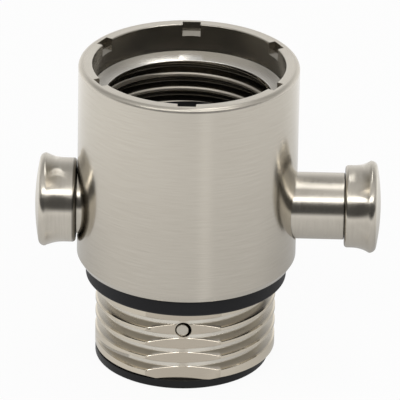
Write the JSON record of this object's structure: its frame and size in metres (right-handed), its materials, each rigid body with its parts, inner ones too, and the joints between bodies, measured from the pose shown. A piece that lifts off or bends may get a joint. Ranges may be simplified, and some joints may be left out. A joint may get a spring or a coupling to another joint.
{
  "type": "push-pull shut-off valve",
  "caption": "Cylindrical inline water valve with a threaded socket, a threaded outlet spout and a knobbed plunger that slides through it to open or shut the flow.",
  "frame": {"origin": "centre of the outlet insert's lower face, on the thread axis; the valve stands on this face", "axes": "+Z along the thread axis from the outlet to the inlet socket; +X along the plunger towards the knob that is pulled out at rest; +Y to the back, away from the flat with the pin"},
  "size_m": [0.0402, 0.0254, 0.0367],
  "materials": {
    "brushed_nickel": "brushed nickel plate on brass",
    "bright_nickel": "bright nickel plate on brass",
    "satin_nickel": "fine satin nickel plate on brass",
    "black_rubber": "moulded black rubber",
    "black_plastic": "moulded black plastic",
    "steel_pin": "plain steel"
  },
  "bodies": {
    "valve": {"outer_sleeve": "brushed_nickel", "valve_core": "bright_nickel", "shoulder_seal": "black_rubber", "inlet_washer": "black_rubber", "outlet_insert": "black_plastic", "insert_o_ring": "black_rubber", "flow_control_ring": "black_rubber", "retaining_pin": "steel_pin"},
    "plunger": {"plunger_stem": "satin_nickel", "left_knob": "satin_nickel", "right_knob": "satin_nickel", "left_plunger_o_ring": "black_rubber", "right_plunger_o_ring": "black_rubber"}
  },
  "joints": [
    {"name": "plunger_slide", "type": "slide", "parent": "valve", "child": "plunger", "axis": [-1, 0, 0], "range_m": [0, 0.00545]}
  ]
}
